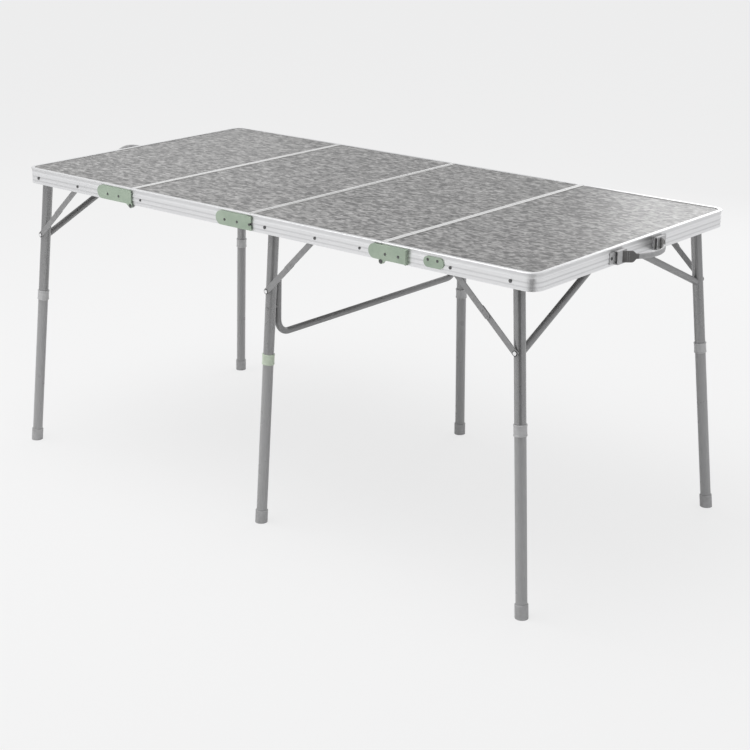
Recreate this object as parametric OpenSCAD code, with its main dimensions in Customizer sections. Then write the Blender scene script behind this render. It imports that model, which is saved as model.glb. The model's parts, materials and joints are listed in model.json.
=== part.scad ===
// Four-panel folding table with six splayed legs.
// X runs along the table, Y from front to back, Z up. The origin is on the floor under the
// middle of the top. Everything is drawn at its place in the standing table.

/* [Top] */
// Length of the standing top
top_l = 1500; // [1200:10:1800]
// Depth of the top over the side rails
top_w = 730; // [560:5:900]
// Height of the top above the floor
top_h = 710; // [640:5:760]
// Gap between two neighbouring panels
seam_gap = 0.8; // [0.6:0.1:1.6]
// Thickness of the laminated board
board_t = 9; // [8:0.5:9.5]

/* [Rails] */
// Height of the aluminium side rail
rail_h = 37; // [35:0.5:42]
// Thickness of the rail wall behind the ribs
wall_t = 0.8; // [0.8:0.1:1.2]
// Height that the ribs stand out of the wall
rib_t = 0.8; // [0.4:0.1:0.8]
// Distance that a rib's upper edge lies behind its lower edge
rib_slope = 0.35; // [0:0.05:0.4]
// Number of ribs along the rail
rib_count = 3; // [2:1:4]
// Width of the groove between two ribs
groove_w = 2.6; // [1.5:0.1:3.5]
// Height of the sloped band between the bead and the first rib
band_h = 9.5; // [6:0.5:12]
// Width of the lip and the ledge that hold the board
lip_w = 7.6; // [6:0.2:9]
// Thickness of the lip and the ledge
lip_t = 1.2; // [1:0.1:1.6]
// Radius of the bead along the top edge
bead_r = 1.5; // [1.2:0.1:1.8]
// Outer radius of the bent rail at the table's corners
corner_r = 28; // [20:1:40]

/* [Seams] */
// Width of the trim bar that covers a board's seam edge
seam_bar_w = 6.4; // [6:0.2:8]
// Wall of the plain trim bars
seam_bar_t = 1.4; // [1:0.1:2]
// Wall of the two trim bars that carry the middle hinge
hinge_bar_t = 3.6; // [3.4:0.1:5]
// Height of the middle hinge's axis above the rails
hinge_rise = 0.3; // [0.2:0.05:0.6]
// Radius of the middle hinge's knuckles
knuckle_r = 2; // [1.8:0.1:2.4]
// Radius of the middle hinge's wire
hinge_wire_r = 0.9; // [0.8:0.05:1.1]
// Number of knuckles in the middle hinge
knuckle_count = 12; // [6:2:16]

/* [Hinge plates] */
// Thickness of the pressed plates and ears
plate_t = 2; // [1.5:0.1:2.2]
// Height of the outer plates
plate_h = 31; // [26:0.5:31.5]
// Length of the first seam's plates up to the seam
plate_1_l = 113; // [95:1:130]
// Length of the first seam's plates beyond the seam
plate_1_over = 3; // [2:1:12]
// Length of the second seam's plates up to the seam
plate_2_l = 96; // [90:1:120]
// Length of the second seam's plates beyond the seam
plate_2_over = 11; // [8:1:14]
// Length of the third seam's plates up to the seam
plate_3_l = 67; // [60:1:90]
// Length of the third seam's plates beyond the seam
plate_3_over = 33; // [20:1:33]
// Radius of the hinge pins under the first and third seams
hinge_pin_r = 2; // [1.8:0.1:2.8]
// Gap between a hinge pin and the rail above it
hinge_pin_gap = 0.4; // [0.3:0.1:1]
// Radius of the plates' ears round the hinge pins
ear_r = 5.5; // [5:0.1:8]

/* [Legs] */
// Outer diameter of the leg tubes
leg_d = 24; // [22:0.5:25]
// Wall of the leg tubes
leg_wall = 1.5; // [1.2:0.1:2]
// Distance of the left legs' pivots from the left end of the top
left_inset = 42; // [40:1:70]
// Distance of the right legs' pivots from the right end of the top
right_inset = 58; // [40:1:70]
// Distance of the middle legs' pivots from the middle seam
mid_offset = 48; // [40:1:60]
// Distance of the leg axes inside the rails' outer face, at the pivots
leg_inset = 30; // [28:0.5:34]
// Depth of the leg pivots below the top
pivot_drop = 22.8; // [22:0.2:24]
// Outward lean of the end legs, in degrees
end_lean = 5.05; // [3:0.05:7]
// Lean of the middle legs, in degrees
mid_lean = 1.5; // [0:0.1:3]
// Sideways splay of every leg, in degrees
side_splay = 3.1; // [1:0.1:3.5]
// Distance along the leg from its pivot to the lower end of its upper tube
upper_len = 313; // [280:1:320]
// Length of the collar at the lower end of the upper tube
collar_len = 24; // [20:1:30]
// Wall of the collar
collar_wall = 2.2; // [1.5:0.1:2.4]
// Length of the extension's spigot inside the upper tube
spigot_len = 55; // [45:1:65]
// Radial clearance of sliding and turning fits
fit = 0.05; // [0.02:0.01:0.09]
// Gap between pieces that move past each other
gap = 0.3; // [0.3:0.05:0.4]
// Distance along the leg from a middle leg's pivot to its lower stretcher bolt
bolt_drop = 184; // [176:1:200]
// Height of the rubber foot
foot_h = 30; // [24:1:40]
// Wall of the rubber foot
foot_wall = 2; // [1.6:0.1:3]

/* [Leg frames] */
// Diameter of the cross tube that joins a pair of end legs
cross_d = 18; // [14:1:20]
// Diameter of the slanted braces
brace_d = 15; // [12:0.5:16]
// Distance along the leg from its pivot to the brace's lower end
brace_drop = 150; // [130:1:170]
// Distance from the table's centre line to the brace's upper end
brace_top_y = 22; // [15:1:60]
// Diameter of the middle legs' stretcher tube
stretcher_d = 15; // [12:0.5:16]
// Distance along the leg to the upper end of the stretcher's arm
stretcher_top = 126; // [100:1:140]
// Depth of the stretcher's run below the leg pivots
stretcher_drop = 249; // [230:1:255]
// Bend radius of the stretcher, at its centre line
stretcher_bend = 34; // [28:1:45]

/* [Stays] */
// Distance from the leg pivot to the stay's two pivots, on the rail and on the leg
stay_reach = 144; // [136:1:152]
// Width of the flat stay bars
stay_w = 13; // [11:0.5:14]
// Thickness of the stay bars
stay_t = 2; // [1.8:0.1:2.2]
// Length of a stay's upper bar beyond the middle pivot
stay_tail = 14; // [10:1:16]
// Length of a stay's lower bar beyond the middle pivot
stay_low_tail = 4; // [2:0.5:5]
// Radius of the stays' pivot studs
stud_r = 2.5; // [2:0.1:3]

/* [Handles] */
// Distance between the handle's two ends
handle_span = 160; // [140:5:200]
// Distance that the handle bows out of the end rail
handle_bow = 50; // [40:1:70]
// Width of the handle strap
strap_w = 24; // [20:0.5:26]
// Thickness of the handle strap
strap_t = 3.2; // [2.5:0.1:4]
// Width of the strap at the grip
grip_w = 11; // [9:0.5:16]
// Distance of the narrow grip's ends from the middle of the handle
grip_reach = 54; // [40:1:58]
// Length of the loop that holds a strap's end
clip_l = 32; // [28:1:36]
// Height of the loop above the rail
clip_h = 10; // [9:0.5:12]
// Wall of the loop
clip_wall = 2; // [1.5:0.1:2.2]
// Thickness of the loop's screw flange
flange_t = 1.2; // [1:0.1:2]

/* [Hidden] */
$fn = 64;

// How far joined shapes run into each other, and how far a cut reaches past what it cuts
root = 0.2;
past = 1;
// Clearance between fixed pieces that lie against each other
clear = 0.1;

half_l = top_l / 2;
half_w = top_w / 2;
panel_l = top_l / 4;
rail_t = wall_t + rib_t;
inner_y = half_w - rail_t;
lip_y = half_w - lip_w;
board_top = top_h - lip_t;
board_low = board_top - board_t;
ledge_low = board_low - lip_t;
channel_h = board_t + 2 * lip_t;
pivot_z = top_h - pivot_drop;
board_gap = 0.2;
knuckle_arm = 0.3;

// Seam hinges: the outer plates lie outside the rails, the ears inside them
hinge_pin_z = top_h - rail_h - hinge_pin_r - hinge_pin_gap;
plate_y = half_w + bead_r + gap;
plate_drop = 1.8;
plate_top = top_h - 2 * bead_r - plate_drop;
plate_low = plate_top - plate_h;
plate_pad = 3;
flange_h = 6;
ear_y = inner_y - gap - plate_t;
ear_l = 40;
ear_3_l = 70;
ear_root = 3;
ear_spread = 3.2;
ear_waist = 0.7;
ear_arm_low = 12;
ear_arm_h = 19;

// Rivets: places along X, counted from the table's middle
rivet_r = 2;
rivet_head_r = 2.9;
head_rim = 0.5;
head_dome = 0.7;
head_taper = 0.55;
plate_1_rivets = [-panel_l - 77, -panel_l - 39];
plate_2_rivets = [-69, -31];
plate_4_rivets = [panel_l + 11, panel_l + 45];
latch_x = 6;
keeper_x = panel_l + 119;
keeper_rivets = [keeper_x, keeper_x + 24];
keeper_l = 50;
keeper_h = 22;
keeper_rise = 3.8;
keeper_rivet_rise = 8;
ear_rivet = panel_l - 30;
ear_3_rivet = panel_l - 60;

// Legs: one row per pair holds the pivot's X, the lean and the way that the pair folds
LEFT = [-half_l + left_inset, end_lean, 1];
MID = [mid_offset, mid_lean, 1];
RIGHT = [half_l - right_inset, -end_lean, -1];
leg_y = half_w - leg_inset;
leg_r = leg_d / 2;
bore_r = leg_r - leg_wall;
plug_r = 11;
plug_depth = 14;
pivot_bolt_r = 3;
pivot_head_r = 3.8;
spacer_r = 6;
bolt_r = 3;
bolt_seat_r = 4.4;
bolt_seat_h = 0.3;
stretcher_pad_r = 4;
collar_rim = 0.6;
collar_band = 3;
spigot_wall = 2;
spigot_root = 20;
foot_sole = 4;
foot_cover = 6;
tube_rest = 6;

// Stays: the upper bar runs next to the rail, the lower bar next to the leg
stay_leg = stay_reach / cos(side_splay);
stay_off = 1.5;
stay_top_y = inner_y - stay_off - stay_t;
stay_low_y = stay_top_y - gap - stay_t;
stud_head_r = 3.4;
stud_collar_r = 4.2;
stud_end = 1.4;
boss_r = 5.5;
stay_rivet_r = 2.4;

function leg_x(pair, s) = pair[0] - s * cos(side_splay) * sin(pair[1]);
function leg_z(pair, s) = pivot_z - s * cos(side_splay) * cos(pair[1]);
function leg_side(s) = leg_y + s * sin(side_splay);
function leg_len(pair) = pivot_z / (cos(side_splay) * cos(pair[1]));
function rail_pivot(pair) = pair[0] + pair[2] * stay_reach;
function stay_span(pair) = norm([rail_pivot(pair) - leg_x(pair, stay_leg),
                                 pivot_z - leg_z(pair, stay_leg)]);

// Shapes are drawn for the back of the table and mirrored to the front
module at(side) {
    if (side == "front") mirror([0, 1, 0]) children();
    else children();
}

module both_sides() {
    children();
    mirror([0, 1, 0]) children();
}

// Extrudes a shape drawn in X and Z between two places along Y
module across(y0, y1) {
    translate([0, y1, 0]) rotate([90, 0, 0]) linear_extrude(y1 - y0) children();
}

// Turns pieces drawn along -Z to a leg's own axis
module along_leg(pair) {
    translate([pair[0], leg_y, pivot_z]) rotate([side_splay, pair[1], 0]) children();
}

// A round rod between two points
module rod(p, q, d) {
    v = q - p;
    translate(p) rotate([0, acos(v.z / norm(v)), atan2(v.y, v.x)]) cylinder(h = norm(v), d = d);
}

// A flat bar with round ends, from the origin along +X
module bar_outline(len, w) {
    circle(d = w);
    translate([len, 0]) circle(d = w);
    translate([0, -w / 2]) square([len, w]);
}

// Rivet along Y: shank from y0, low domed head outside y1
module rivet(x, z, y0, y1, shank_r = rivet_r, head_r = rivet_head_r) {
    translate([x, y1, z]) rotate([-90, 0, 0]) {
        translate([0, 0, y0 - y1]) cylinder(h = y1 - y0, r = shank_r);
        cylinder(h = head_rim, r = head_r);
        translate([0, 0, head_rim])
            cylinder(h = head_dome, r1 = head_r, r2 = head_r * head_taper);
    }
}

module hole(x, z, y0, y1, r) {
    translate([x, y0, z]) rotate([-90, 0, 0]) cylinder(h = y1 - y0, r = r);
}

// Hole through whatever lies outside the rail, for a rivet or pin of radius r
module rivet_hole(x, z, r) {
    hole(x, z, inner_y, plate_y + plate_t + past, r + fit);
}

// Rail section: X outwards from the rail's outer face, Y up from the top
module rail_section() {
    band_low = -2 * bead_r - band_h;
    pitch = (rail_h + band_low + groove_w) / rib_count;
    rib_w = pitch - groove_w;
    rib = [[-rib_t, -rib_w], [0, -rib_w], [-rib_slope, 0], [-rib_t, 0]];
    channel = [[-lip_w, 0], [-lip_w, -lip_t], [-rail_t, -lip_t], [-rail_t, lip_t - channel_h],
               [-lip_w, lip_t - channel_h], [-lip_w, -channel_h], [-rail_t, -channel_h],
               [-rail_t, -rail_h]];
    polygon(concat([for (i = [rib_count - 1 : -1 : 0], p = rib) p + [0, band_low - i * pitch]],
                   [[0, -2 * bead_r], [0, 0]], channel));
    translate([0, -bead_r]) circle(r = bead_r);
}

// Straight rail along the back edge, from x0 to x1
module straight_rail(x0, x1) {
    translate([x0, half_w, top_h]) rotate([90, 0, 90]) linear_extrude(x1 - x0) rail_section();
}

// Holes in a back rail for rivets at the pivot height
module rail_holes(places, r = rivet_r + fit) {
    for (x = places) hole(x, pivot_z, inner_y - past, half_w + past, r);
}

// Bent rail of an end panel: back side, corner, right end, corner, front side
module bent_rail() {
    both_sides() {
        straight_rail(panel_l + seam_gap / 2, half_l - corner_r);
        translate([half_l - corner_r, half_w - corner_r, top_h])
            rotate_extrude(angle = 90) translate([corner_r, 0]) rail_section();
    }
    translate([half_l, half_w - corner_r, top_h])
        rotate([90, 0, 0]) linear_extrude(top_w - 2 * corner_r) rail_section();
}

// Rail of an end panel: rivet holes, and holes for the leg bolts and the stay studs
module end_rail(rivets, leg_pivot) {
    color("gainsboro") difference() {
        bent_rail();
        both_sides() {
            rail_holes(rivets);
            rail_holes([leg_pivot], pivot_bolt_r + fit);
            rail_holes([leg_pivot - stay_reach], stud_r + fit);
            screw_hole();
        }
    }
}

module rail_1() {
    mirror([1, 0, 0]) end_rail([for (x = plate_1_rivets) -x], -LEFT[0]);
}

module rail_4() {
    difference() {
        end_rail(plate_4_rivets, RIGHT[0]);
        both_sides() for (x = keeper_rivets)
            hole(x, pivot_z + keeper_rivet_rise, inner_y - past, half_w + past, rivet_r + fit);
    }
}

module middle_rail(x0, x1, rivets, side) {
    color("gainsboro") at(side) difference() {
        straight_rail(x0 + seam_gap / 2, x1 - seam_gap / 2);
        rail_holes(rivets);
        if (x0 == 0) {
            rail_holes([mid_offset], pivot_bolt_r + fit);
            rail_holes([mid_offset + stay_reach], stud_r + fit);
        }
    }
}

module rail_2_front() {
    middle_rail(-panel_l, 0, concat([-ear_rivet], plate_2_rivets), "front");
}

module rail_2_back() {
    middle_rail(-panel_l, 0, concat([-ear_rivet], plate_2_rivets), "back");
}

module rail_3_front() {
    middle_rail(0, panel_l, [latch_x, ear_3_rivet], "front");
}

module rail_3_back() {
    middle_rail(0, panel_l, [latch_x, ear_3_rivet], "back");
}

// Boards lie in the rails' channels and in the trim bars
module board(x0, x1) {
    y = inner_y - board_gap;
    color("darkgray") translate([x0, -y, board_low]) cube([x1 - x0, 2 * y, board_t]);
}

function bar_edge(t) = seam_gap / 2 + t + clear;

module end_board() {
    r = corner_r - rail_t - board_gap;
    x1 = half_l - rail_t - board_gap;
    y = inner_y - board_gap;
    x0 = panel_l + bar_edge(seam_bar_t);
    color("darkgray") translate([0, 0, board_low]) linear_extrude(board_t) {
        translate([x0, -y]) square([x1 - r - x0, 2 * y]);
        translate([x1 - r, -y + r]) square([r, 2 * (y - r)]);
        for (s = [-1, 1]) translate([x1 - r, s * (y - r)]) circle(r = r);
    }
}

module board_1() {
    mirror([1, 0, 0]) end_board();
}

module board_2() {
    board(-panel_l + bar_edge(seam_bar_t), -bar_edge(hinge_bar_t));
}

module board_3() {
    board(bar_edge(hinge_bar_t), panel_l - bar_edge(seam_bar_t));
}

module board_4() {
    end_board();
}

// Trim bar on the right side of a seam at x, wall t
module seam_bar(x, t) {
    y = lip_y - board_gap;
    translate([x + seam_gap / 2, y, top_h]) rotate([90, 0, 0]) linear_extrude(2 * y) {
        translate([0, -channel_h]) square([t, channel_h]);
        translate([0, -lip_t]) square([seam_bar_w, lip_t]);
        translate([0, -channel_h]) square([seam_bar_w, lip_t]);
    }
}

// Middle hinge: knuckles alternate between the two bars round one wire
module hinge_bar(first) {
    y = lip_y - board_gap;
    pitch = 2 * y / knuckle_count;
    axis_z = top_h + hinge_rise;
    difference() {
        union() {
            difference() {
                seam_bar(0, hinge_bar_t);
                hole(0, axis_z, -y - past, y + past, knuckle_r + gap);
            }
            for (i = [first : 2 : knuckle_count - 1])
                translate([0, -y + i * pitch + gap / 2, axis_z]) rotate([-90, 0, 0])
                    linear_extrude(pitch - gap) {
                        circle(r = knuckle_r);
                        translate([knuckle_r * knuckle_arm, clear])
                            square([seam_bar_w - knuckle_r, lip_t + clear]);
                    }
        }
        hole(0, axis_z, -y - past, y + past, hinge_wire_r + fit);
    }
}

module seam_bar_1() {
    color("whitesmoke") mirror([1, 0, 0]) seam_bar(panel_l, seam_bar_t);
}

module seam_bars_2() {
    color("whitesmoke") {
        seam_bar(-panel_l, seam_bar_t);
        mirror([1, 0, 0]) hinge_bar(0);
        translate([0, lip_y, top_h + hinge_rise]) rotate([90, 0, 0])
            cylinder(h = 2 * lip_y, r = hinge_wire_r);
    }
}

module seam_bars_3() {
    color("whitesmoke") {
        hinge_bar(1);
        mirror([1, 0, 0]) seam_bar(-panel_l, seam_bar_t);
    }
}

module seam_bar_4() {
    color("whitesmoke") seam_bar(panel_l, seam_bar_t);
}

// Outer plate outline from x0 to x1, with a round end at x0
module plate_outline(x0, x1) {
    r = plate_h / 2;
    translate([x0 + r, plate_top - r]) circle(r = r);
    translate([x0 + r, plate_low]) square([x1 - x0 - r, plate_h]);
}

// Outer plate: a sheet that clears the rail's bead, and a pad on its own panel from x1 to x2
module outer_plate(x1, x2) {
    across(plate_y, plate_y + plate_t) children();
    across(half_w, plate_y) intersection() {
        children();
        translate([x1, plate_low]) square([x2 - x1, plate_h]);
    }
}

// Ear that reaches down from the rail's lower part to the hinge pin at x
module ear_outline(x, side) {
    root_z = plate_low + ear_root;
    translate([x, hinge_pin_z]) circle(r = ear_r);
    polygon([[x + ear_r, hinge_pin_z], [x + ear_r, root_z], [x - ear_r, root_z],
             [x - ear_r, hinge_pin_z]]);
    polygon([[x, root_z], [x + side * ear_spread * ear_r, root_z],
             [x + side * ear_waist * ear_r, hinge_pin_z - ear_waist * ear_r],
             [x, hinge_pin_z]]);
}

module plates_1() {
    color("darkseagreen") both_sides() difference() {
        outer_plate(-panel_l - plate_1_l, -panel_l - plate_pad) {
            plate_outline(-panel_l - plate_1_l, -panel_l + plate_1_over);
            ear_outline(-panel_l, -1);
        }
        for (x = plate_1_rivets) rivet_hole(x, pivot_z, rivet_r);
        rivet_hole(-panel_l, hinge_pin_z, hinge_pin_r);
    }
}

// Open slot in the second seam's plates: the latch stud's path as the middle hinge turns
module latch_slot() {
    z = top_h + hinge_rise;
    r = norm([latch_x, z - pivot_z]);
    w = rivet_r + gap;
    translate([latch_x, pivot_z]) circle(r = w);
    intersection() {
        translate([0, z]) difference() {
            circle(r = r + w);
            circle(r = r - w);
        }
        translate([latch_x, plate_low]) square([plate_2_over, plate_h]);
    }
}

module plates_2() {
    color("darkseagreen") both_sides() difference() {
        outer_plate(-plate_2_l, -plate_pad) difference() {
            plate_outline(-plate_2_l, plate_2_over);
            latch_slot();
        }
        for (x = plate_2_rivets) rivet_hole(x, pivot_z, rivet_r);
    }
}

// The third seam's plates end in a turned-out flange, and short keeper plates follow
module plates_4() {
    x1 = panel_l + plate_3_l;
    color("darkseagreen") both_sides() {
        difference() {
            union() {
                outer_plate(panel_l + plate_pad, x1) {
                    plate_outline(panel_l - plate_3_over, x1);
                    ear_outline(panel_l, 1);
                }
                translate([x1 - plate_t, plate_y, plate_low])
                    cube([plate_t, flange_h, plate_h]);
            }
            for (x = plate_4_rivets) rivet_hole(x, pivot_z, rivet_r);
            rivet_hole(panel_l, hinge_pin_z, hinge_pin_r);
        }
        difference() {
            across(half_w, half_w + plate_t) translate([keeper_x, pivot_z + keeper_rise])
                bar_outline(keeper_l - keeper_h, keeper_h);
            for (x = keeper_rivets) rivet_hole(x, pivot_z + keeper_rivet_rise, rivet_r);
        }
    }
}

// Inner ears of the first and third seams, riveted inside the middle panels' rails
module inner_ear(x, len, rivet_x) {
    dir = sign(rivet_x - x);
    both_sides() difference() {
        across(ear_y, ear_y + plate_t) {
            ear_outline(x, dir);
            translate([min(x, x + dir * len), pivot_z - ear_arm_low]) square([len, ear_arm_h]);
        }
        hole(x, hinge_pin_z, ear_y - past, ear_y + plate_t + past, hinge_pin_r + fit);
        hole(rivet_x, pivot_z, ear_y - past, ear_y + plate_t + past, rivet_r + fit);
    }
}

module ears_2() {
    color("silver") inner_ear(-panel_l, ear_l, -ear_rivet);
}

module ears_3() {
    color("silver") inner_ear(panel_l, ear_3_l, ear_3_rivet);
}

// Leg pivot bolt with its spacer, and stay stud with its washer, both through a rail
module leg_bolt(pair) {
    rivet(pair[0], pivot_z, leg_y - leg_r, half_w, pivot_bolt_r, pivot_head_r);
    hole(pair[0], pivot_z, leg_y + leg_r + 2 * gap, inner_y, spacer_r);
}

module stay_stud(pair) {
    rivet(rail_pivot(pair), pivot_z, stay_top_y - gap, half_w, stud_r, stud_head_r);
    hole(rail_pivot(pair), pivot_z, stay_top_y + stay_t + gap, inner_y, boss_r);
    hole(rail_pivot(pair), pivot_z, stay_top_y - stud_end, stay_top_y - gap, stud_collar_r);
}

// Plate rivets reach the plate's outside; hinge pins run from plate to ear
module plate_rivets(places) {
    for (x = places) rivet(x, pivot_z, inner_y - past, plate_y + plate_t);
}

module hinge_pin(x) {
    rivet(x, hinge_pin_z, ear_y - past, plate_y + plate_t, hinge_pin_r, ear_r - past);
    hole(x, hinge_pin_z, ear_y - 2 * past, ear_y - gap, rivet_head_r + past);
}

module rivets_1() {
    color("dimgray") both_sides() {
        leg_bolt(LEFT);
        stay_stud(LEFT);
        plate_rivets(plate_1_rivets);
        hinge_pin(-panel_l);
        mirror([1, 0, 0]) clip_screw();
    }
}

module rivets_2() {
    color("dimgray") both_sides() {
        rivet(-ear_rivet, pivot_z, ear_y - past, half_w);
        plate_rivets(plate_2_rivets);
    }
}

module rivets_3() {
    color("dimgray") both_sides() {
        leg_bolt(MID);
        stay_stud(MID);
        rivet(ear_3_rivet, pivot_z, ear_y - past, half_w);
        rivet(latch_x, pivot_z, inner_y - past, plate_y + plate_t + gap);
    }
}

module rivets_4() {
    color("dimgray") both_sides() {
        leg_bolt(RIGHT);
        stay_stud(RIGHT);
        plate_rivets(plate_4_rivets);
        for (x = keeper_rivets)
            rivet(x, pivot_z + keeper_rivet_rise, inner_y - past, half_w + plate_t);
        hinge_pin(panel_l);
        clip_screw();
    }
}

// Strap handle: an arc that bows out of the right end rail, wide at its ends
strap_end = 4.2;
taper_l = 6;
handle_rise = 2;
flange_l = 16;
screw_head_r = 3.6;
handle_r = (pow(handle_span / 2, 2) + pow(handle_bow, 2)) / (2 * handle_bow);
handle_x = half_l + handle_bow - handle_r;
handle_turn = acos((handle_r - handle_bow + strap_end) / handle_r);
handle_z = pivot_z + handle_rise;
clip_y = handle_span / 2 - clip_l + clip_h + clip_wall;
screw_y = clip_y + clip_l + clip_h;

// Y at which a circle of radius r round the handle's centre is x outside the rail
function arc_y(r, x) = sqrt(r * r - pow(handle_r - handle_bow + x, 2));

module strap() {
    translate([handle_x, 0, handle_z]) rotate([0, 0, -handle_turn])
        rotate_extrude(angle = 2 * handle_turn)
            translate([handle_r - strap_t, -strap_w / 2]) square([strap_t, strap_w]);
}

// Front view of the strap, Y across and Z up: full width at the ends, narrow at the grip
module strap_outline() {
    y = [handle_span / 2, grip_reach + taper_l, grip_reach];
    w = strap_w / 2;
    g = grip_w / 2;
    polygon([[-y[0], -w], [-y[1], -w], [-y[2], -g], [y[2], -g], [y[1], -w], [y[0], -w],
             [y[0], w], [y[1], w], [y[2], g], [-y[2], g], [-y[1], w], [-y[0], w]]);
}

// Grip: between its wide ends the strap is folded double
module grip() {
    turn = asin(grip_reach / handle_r);
    translate([handle_x, 0, handle_z]) rotate([0, 0, -turn]) rotate_extrude(angle = 2 * turn)
        translate([handle_r - strap_t, 0]) {
            square([2 * strap_t, grip_w - 2 * strap_t], center = true);
            for (s = [-1, 1]) translate([0, s * (grip_w / 2 - strap_t)]) circle(r = strap_t);
        }
}

// Clip: a loop open at both ends, with a mouth for the strap and a flange for the screw
module clip() {
    h = strap_w + 2 * clip_wall;
    hollow = strap_w + 2 * gap;
    front = clip_h - clip_wall;
    y0 = arc_y(handle_r - strap_t, clip_h) - gap;
    y1 = arc_y(handle_r, front) + gap;
    difference() {
        union() {
            translate([half_l, clip_y, handle_z - h / 2]) cube([clip_h, clip_l, h]);
            translate([half_l, clip_y, handle_z - strap_w / 2])
                cube([flange_t, clip_l + flange_l, strap_w]);
        }
        translate([half_l + clip_wall, clip_y - past, handle_z - hollow / 2])
            cube([front - clip_wall, clip_l + 2 * past, hollow]);
        translate([half_l + front - past, y0, handle_z - hollow / 2])
            cube([clip_wall + 2 * past, y1 - y0, hollow]);
        screw_hole();
    }
}

// The clip's screw holds its flange on the end rail
module screw_hole() {
    translate([half_l - rail_t - past, screw_y, handle_z]) rotate([0, 90, 0])
        cylinder(h = rail_t + flange_t + 2 * past, r = rivet_r + fit);
}

module clip_screw() {
    x = half_l + flange_t;
    translate([half_l - rail_t - past, screw_y, handle_z]) rotate([0, 90, 0])
        cylinder(h = rail_t + flange_t + past, r = rivet_r);
    translate([x, screw_y, handle_z]) rotate([0, 90, 0]) {
        cylinder(h = head_rim, r = screw_head_r);
        translate([0, 0, head_rim])
            cylinder(h = head_dome, r1 = screw_head_r, r2 = screw_head_r * head_taper);
    }
}

module handle_4() {
    color("dimgray") {
        intersection() {
            strap();
            translate([half_l, 0, handle_z]) rotate([90, 0, 90])
                linear_extrude(handle_bow + past) strap_outline();
        }
        grip();
    }
}

module handle_1() {
    mirror([1, 0, 0]) handle_4();
}

module clips_4() {
    color("gray") both_sides() clip();
}

module clips_1() {
    mirror([1, 0, 0]) clips_4();
}

// Upper leg: a tube from the pivot down, and a plug that turns on the pivot bolt
module upper_leg(pair) {
    difference() {
        union() {
            leg_bar(pair, leg_r);
            hole(pair[0], pivot_z, leg_y - leg_r, leg_y + leg_r, plug_r);
            stay_boss(pair);
        }
        along_leg(pair) translate([0, 0, -upper_len - past])
            cylinder(h = upper_len + past - plug_r - plug_depth, r = bore_r);
        hole(pair[0], pivot_z, leg_y - leg_r - past, leg_y + leg_r + past, pivot_bolt_r + fit);
    }
}

// Solid bar of radius r from the leg's pivot to the upper tube's lower end
module leg_bar(pair, r) {
    along_leg(pair) translate([0, 0, -upper_len]) cylinder(h = upper_len, r = r);
}

// Boss and stud on the leg for the stay's lower bar
module stay_boss(pair) {
    x = leg_x(pair, stay_leg);
    z = leg_z(pair, stay_leg);
    y = leg_side(stay_leg);
    hole(x, z, y, stay_low_y - gap, boss_r);
    hole(x, z, y, stay_low_y + stay_t + gap, stud_r);
    hole(x, z, stay_low_y + stay_t + gap, stay_low_y + stay_t + stud_end, stud_collar_r);
}

// Bolt that holds the stretcher to a middle leg, with its seat on the leg's outside
module stretcher_bolt() {
    x = leg_x(MID, bolt_drop);
    z = leg_z(MID, bolt_drop);
    y = leg_side(bolt_drop);
    hole(x, z, y + bore_r, y + leg_r + bolt_seat_h, bolt_seat_r);
    rivet(x, z, y - bore_r, y + leg_r + bolt_seat_h, bolt_r, pivot_head_r);
}

module legs_left() {
    color("gray") both_sides() upper_leg(LEFT);
}

module legs_mid() {
    color("gray") both_sides() {
        upper_leg(MID);
        stretcher_bolt();
    }
}

module legs_right() {
    color("gray") both_sides() upper_leg(RIGHT);
}

// Frame of an end pair: a cross tube on the pivot line and two slanted braces
module leg_frame(pair) {
    difference() {
        translate([pair[0], leg_y - leg_r, pivot_z]) rotate([90, 0, 0])
            cylinder(h = 2 * (leg_y - leg_r), d = cross_d);
        both_sides()
            hole(pair[0], pivot_z, leg_y - leg_d, leg_y, pivot_bolt_r + past);
    }
    both_sides() difference() {
        rod([pair[0], brace_top_y, pivot_z],
            [leg_x(pair, brace_drop), leg_side(brace_drop), leg_z(pair, brace_drop)], brace_d);
        leg_bar(pair, leg_r + clear);
        hole(pair[0], pivot_z, -past, leg_y, cross_d / 2 + clear);
    }
}

module frame_left() {
    color("dimgray") leg_frame(LEFT);
}

module frame_right() {
    color("dimgray") leg_frame(RIGHT);
}

// Stretcher of the middle pair: a U-shaped tube between the legs, on four bolt spacers
module stretcher_mid() {
    arm_y = leg_side(stretcher_top) - leg_r - stretcher_d / 2 - past;
    top_len = stretcher_drop - stretcher_bend;
    color("dimgray") translate([MID[0], 0, pivot_z]) rotate([0, MID[1], 0]) {
        both_sides() {
            translate([0, arm_y, -top_len]) cylinder(h = top_len - stretcher_top, d = stretcher_d);
            translate([0, arm_y - stretcher_bend, -top_len]) rotate([90, 0, 90])
                rotate([0, 0, -90]) rotate_extrude(angle = 90)
                    translate([stretcher_bend, 0]) circle(d = stretcher_d);
            difference() {
                for (s = [stay_leg, bolt_drop]) hole(0, -s, arm_y, leg_side(s), stretcher_pad_r);
                translate([0, leg_y, 0]) rotate([side_splay, 0, 0])
                    translate([0, 0, -upper_len]) cylinder(h = upper_len, r = leg_r + clear);
            }
        }
        translate([0, arm_y - stretcher_bend, -stretcher_drop]) rotate([90, 0, 0])
            cylinder(h = 2 * (arm_y - stretcher_bend), d = stretcher_d);
    }
}

// Collar: a sleeve with a raised band at each end, on the upper tube's lower end
module collars(pair) {
    r0 = leg_r + fit;
    r1 = leg_r + collar_wall;
    r2 = r1 - collar_rim;
    color("silver") both_sides() along_leg(pair) translate([0, 0, -upper_len])
        rotate_extrude() polygon([
            [r0, 0], [r2, 0], [r1, collar_rim], [r1, collar_band],
            [r2, collar_band + collar_rim], [r2, collar_len - collar_band - collar_rim],
            [r1, collar_len - collar_band], [r1, collar_len - collar_rim],
            [r2, collar_len], [r0, collar_len]]);
}

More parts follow.
